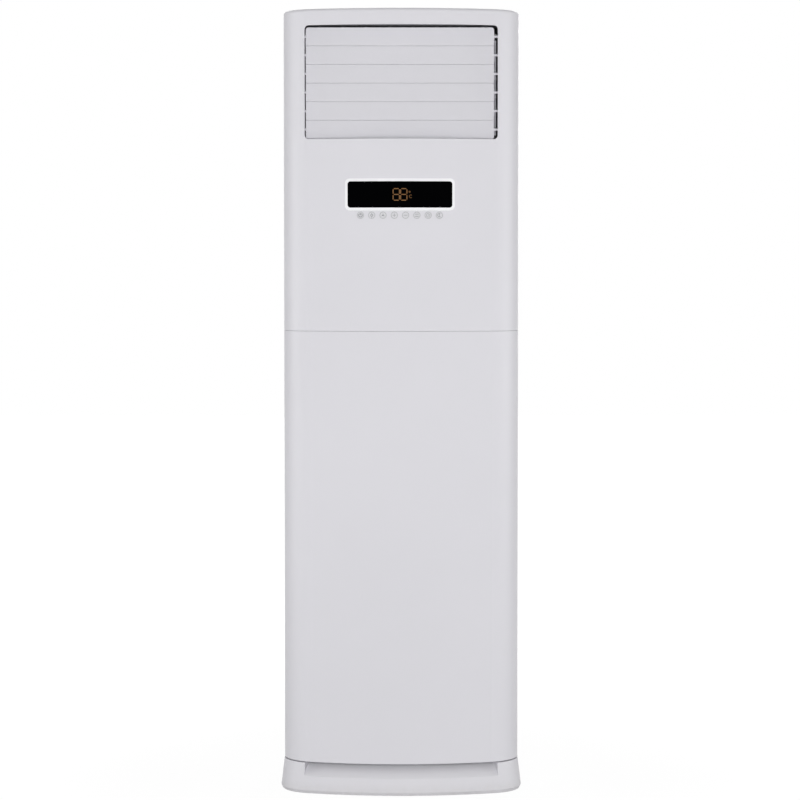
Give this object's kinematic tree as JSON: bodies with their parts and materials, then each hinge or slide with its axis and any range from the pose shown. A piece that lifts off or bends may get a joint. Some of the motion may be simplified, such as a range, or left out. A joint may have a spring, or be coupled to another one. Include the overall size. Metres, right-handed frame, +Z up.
{
  "type": "floor standing air conditioner",
  "caption": "Tall free-standing indoor air conditioner with a louvred outlet near the top, a black display with round push buttons, a plain pull-off lower panel and a flared base.",
  "frame": {"origin": "on the floor, under the centre of the overall box", "axes": "+Z up, +X to the right as seen from the front, +Y towards the back; the outlet faces -Y"},
  "size_m": [0.581, 0.395, 1.87],
  "materials": {
    "panel_white": "satin white moulded plastic",
    "base_white": "satin white moulded plastic, slightly greyer",
    "bezel_white": "high-gloss white trim",
    "window_black": "piano black tinted window",
    "circuit_green": "solder-masked circuit board",
    "sheet_white": "white powder-coated steel sheet",
    "galvanised": "zinc-coated steel sheet",
    "frame_grey": "grey moulded plastic",
    "vane_white": "off-white moulded plastic",
    "blade_white": "satin white moulded plastic",
    "grille_white": "satin white moulded plastic",
    "filter_grey": "woven plastic mesh in a frame",
    "casing_grey": "light grey moulded plastic",
    "wheel_grey": "grey moulded plastic",
    "shaft_steel": "ground steel",
    "motor_black": "black painted steel can",
    "motor_can": "zinc-plated small can",
    "fin_aluminium": "thin stamped fins",
    "copper": "drawn copper tube",
    "tray_grey": "foam-backed moulded tray",
    "terminal_black": "moulded terminal strip",
    "rubber_black": "moulded rubber",
    "screw_steel": "zinc-plated screws",
    "button_white": "satin white moulded plastic"
  },
  "bodies": {
    "cabinet": {"base_pan": "galvanised", "base_plinth": "base_white", "blower_motor": "motor_black", "cabinet_screws": "screw_steel", "control_board": "circuit_green", "display_bezel": "bezel_white", "display_board": "circuit_green", "display_window": "window_black", "drip_tray": "tray_grey", "electric_box": "galvanised", "electric_box_cover": "galvanised", "evaporator_end_plates": "galvanised", "evaporator_fins": "fin_aluminium", "evaporator_tubes": "copper", "inlet_ring": "casing_grey", "left_side_plate": "sheet_white", "louvre_motor": "motor_can", "lower_rear_plate": "sheet_white", "motor_bracket": "galvanised", "outlet_frame": "frame_grey", "pipe_grommet": "rubber_black", "right_side_plate": "sheet_white", "scroll_casing": "casing_grey", "terminal_block": "terminal_black", "top_cover": "panel_white", "upper_front_panel": "panel_white", "upper_rear_plate": "sheet_white", "vane_motor": "motor_can", "wall_bracket": "galvanised"},
    "front_panel": {"lower_front_panel": "panel_white"},
    "filter_cassette_left": {"inlet_grille_left": "grille_white", "air_filter_left": "filter_grey"},
    "filter_cassette_right": {"inlet_grille_right": "grille_white", "air_filter_right": "filter_grey"},
    "blower_rotor": {"blower_wheel": "wheel_grey", "motor_shaft": "shaft_steel"},
    "louvre_link_bar": {"louvre_link": "frame_grey"},
    "vane_link_bar": {"vane_link": "vane_white"},
    "louvre_blade_1_body": {"louvre_blade_1": "blade_white"},
    "louvre_blade_2_body": {"louvre_blade_2": "blade_white"},
    "louvre_blade_3_body": {"louvre_blade_3": "blade_white"},
    "louvre_blade_4_body": {"louvre_blade_4": "blade_white"},
    "louvre_blade_5_body": {"louvre_blade_5": "blade_white"},
    "louvre_blade_6_body": {"louvre_blade_6": "blade_white"},
    "outlet_vane_1_body": {"outlet_vane_1": "vane_white"},
    "outlet_vane_2_body": {"outlet_vane_2": "vane_white"},
    "outlet_vane_3_body": {"outlet_vane_3": "vane_white"},
    "outlet_vane_4_body": {"outlet_vane_4": "vane_white"},
    "outlet_vane_5_body": {"outlet_vane_5": "vane_white"},
    "outlet_vane_6_body": {"outlet_vane_6": "vane_white"},
    "outlet_vane_7_body": {"outlet_vane_7": "vane_white"},
    "outlet_vane_8_body": {"outlet_vane_8": "vane_white"},
    "button_1_body": {"button_1": "button_white"},
    "button_2_body": {"button_2": "button_white"},
    "button_3_body": {"button_3": "button_white"},
    "button_4_body": {"button_4": "button_white"},
    "button_5_body": {"button_5": "button_white"},
    "button_6_body": {"button_6": "button_white"},
    "button_7_body": {"button_7": "button_white"},
    "button_8_body": {"button_8": "button_white"}
  },
  "joints": [
    {"name": "front_panel_pull", "type": "slide", "parent": "cabinet", "child": "front_panel", "axis": [0, -1, 0], "range_m": [0, 0.12]},
    {"name": "air_filter_left_pull", "type": "slide", "parent": "cabinet", "child": "filter_cassette_left", "axis": [-1, 0, 0], "range_m": [0, 0.06]},
    {"name": "air_filter_right_pull", "type": "slide", "parent": "cabinet", "child": "filter_cassette_right", "axis": [1, 0, 0], "range_m": [0, 0.06]},
    {"name": "blower_wheel_spin", "type": "hinge", "parent": "cabinet", "child": "blower_rotor", "pos_m": [0, 0.02, 0.43], "axis": [0, 1, 0], "continuous": true},
    {"name": "louvre_tilt", "type": "hinge", "parent": "cabinet", "child": "louvre_blade_1_body", "pos_m": [0, -0.138, 1.8062], "axis": [1, 0, 0], "range_deg": [0, 85]},
    {"name": "louvre_tilt_2", "type": "hinge", "parent": "cabinet", "child": "louvre_blade_2_body", "pos_m": [0, -0.138, 1.7622], "axis": [1, 0, 0], "range_deg": [0, 85]},
    {"name": "louvre_tilt_3", "type": "hinge", "parent": "cabinet", "child": "louvre_blade_3_body", "pos_m": [0, -0.138, 1.7182], "axis": [1, 0, 0], "range_deg": [0, 85]},
    {"name": "louvre_tilt_4", "type": "hinge", "parent": "cabinet", "child": "louvre_blade_4_body", "pos_m": [0, -0.138, 1.6742], "axis": [1, 0, 0], "range_deg": [0, 85]},
    {"name": "louvre_tilt_5", "type": "hinge", "parent": "cabinet", "child": "louvre_blade_5_body", "pos_m": [0, -0.138, 1.6302], "axis": [1, 0, 0], "range_deg": [0, 85]},
    {"name": "louvre_tilt_6", "type": "hinge", "parent": "cabinet", "child": "louvre_blade_6_body", "pos_m": [0, -0.138, 1.5862], "axis": [1, 0, 0], "range_deg": [0, 85]},
    {"name": "louvre_link_swing", "type": "hinge", "parent": "louvre_blade_1_body", "child": "louvre_link_bar", "pos_m": [0.2235, -0.1262, 1.79539], "axis": [1, 0, 0], "range_deg": [-85, 0]},
    {"name": "outlet_vane_swing", "type": "hinge", "parent": "cabinet", "child": "outlet_vane_1_body", "pos_m": [-0.196, -0.088, 1.697], "axis": [0, 0, 1], "range_deg": [-35, 35]},
    {"name": "outlet_vane_swing_2", "type": "hinge", "parent": "cabinet", "child": "outlet_vane_2_body", "pos_m": [-0.14, -0.088, 1.697], "axis": [0, 0, 1], "range_deg": [-35, 35]},
    {"name": "outlet_vane_swing_3", "type": "hinge", "parent": "cabinet", "child": "outlet_vane_3_body", "pos_m": [-0.084, -0.088, 1.697], "axis": [0, 0, 1], "range_deg": [-35, 35]},
    {"name": "outlet_vane_swing_4", "type": "hinge", "parent": "cabinet", "child": "outlet_vane_4_body", "pos_m": [-0.028, -0.088, 1.697], "axis": [0, 0, 1], "range_deg": [-35, 35]},
    {"name": "outlet_vane_swing_5", "type": "hinge", "parent": "cabinet", "child": "outlet_vane_5_body", "pos_m": [0.028, -0.088, 1.697], "axis": [0, 0, 1], "range_deg": [-35, 35]},
    {"name": "outlet_vane_swing_6", "type": "hinge", "parent": "cabinet", "child": "outlet_vane_6_body", "pos_m": [0.084, -0.088, 1.697], "axis": [0, 0, 1], "range_deg": [-35, 35]},
    {"name": "outlet_vane_swing_7", "type": "hinge", "parent": "cabinet", "child": "outlet_vane_7_body", "pos_m": [0.14, -0.088, 1.697], "axis": [0, 0, 1], "range_deg": [-35, 35]},
    {"name": "outlet_vane_swing_8", "type": "hinge", "parent": "cabinet", "child": "outlet_vane_8_body", "pos_m": [0.196, -0.088, 1.697], "axis": [0, 0, 1], "range_deg": [-35, 35]},
    {"name": "vane_link_swing", "type": "hinge", "parent": "outlet_vane_1_body", "child": "vane_link_bar", "pos_m": [-0.196, -0.073, 1.56], "axis": [0, 0, 1], "range_deg": [-35, 35]},
    {"name": "push_button_1", "type": "slide", "parent": "cabinet", "child": "button_1_body", "axis": [0, 1, 0], "range_m": [0, 0.001], "stiffness_N_per_m": 400, "springref_m": -0.0005},
    {"name": "push_button_2", "type": "slide", "parent": "cabinet", "child": "button_2_body", "axis": [0, 1, 0], "range_m": [0, 0.001], "stiffness_N_per_m": 400, "springref_m": -0.0005},
    {"name": "push_button_3", "type": "slide", "parent": "cabinet", "child": "button_3_body", "axis": [0, 1, 0], "range_m": [0, 0.001], "stiffness_N_per_m": 400, "springref_m": -0.0005},
    {"name": "push_button_4", "type": "slide", "parent": "cabinet", "child": "button_4_body", "axis": [0, 1, 0], "range_m": [0, 0.001], "stiffness_N_per_m": 400, "springref_m": -0.0005},
    {"name": "push_button_5", "type": "slide", "parent": "cabinet", "child": "button_5_body", "axis": [0, 1, 0], "range_m": [0, 0.001], "stiffness_N_per_m": 400, "springref_m": -0.0005},
    {"name": "push_button_6", "type": "slide", "parent": "cabinet", "child": "button_6_body", "axis": [0, 1, 0], "range_m": [0, 0.001], "stiffness_N_per_m": 400, "springref_m": -0.0005},
    {"name": "push_button_7", "type": "slide", "parent": "cabinet", "child": "button_7_body", "axis": [0, 1, 0], "range_m": [0, 0.001], "stiffness_N_per_m": 400, "springref_m": -0.0005},
    {"name": "push_button_8", "type": "slide", "parent": "cabinet", "child": "button_8_body", "axis": [0, 1, 0], "range_m": [0, 0.001], "stiffness_N_per_m": 400, "springref_m": -0.0005}
  ],
  "couplings": [
    {"joint": "louvre_tilt_2", "follows": "louvre_tilt", "ratio": 1},
    {"joint": "louvre_tilt_3", "follows": "louvre_tilt", "ratio": 1},
    {"joint": "louvre_tilt_4", "follows": "louvre_tilt", "ratio": 1},
    {"joint": "louvre_tilt_5", "follows": "louvre_tilt", "ratio": 1},
    {"joint": "louvre_tilt_6", "follows": "louvre_tilt", "ratio": 1},
    {"joint": "louvre_link_swing", "follows": "louvre_tilt", "ratio": -1},
    {"joint": "outlet_vane_swing_2", "follows": "outlet_vane_swing", "ratio": 1},
    {"joint": "outlet_vane_swing_3", "follows": "outlet_vane_swing", "ratio": 1},
    {"joint": "outlet_vane_swing_4", "follows": "outlet_vane_swing", "ratio": 1},
    {"joint": "outlet_vane_swing_5", "follows": "outlet_vane_swing", "ratio": 1},
    {"joint": "outlet_vane_swing_6", "follows": "outlet_vane_swing", "ratio": 1},
    {"joint": "outlet_vane_swing_7", "follows": "outlet_vane_swing", "ratio": 1},
    {"joint": "outlet_vane_swing_8", "follows": "outlet_vane_swing", "ratio": 1},
    {"joint": "vane_link_swing", "follows": "outlet_vane_swing", "ratio": -1}
  ]
}
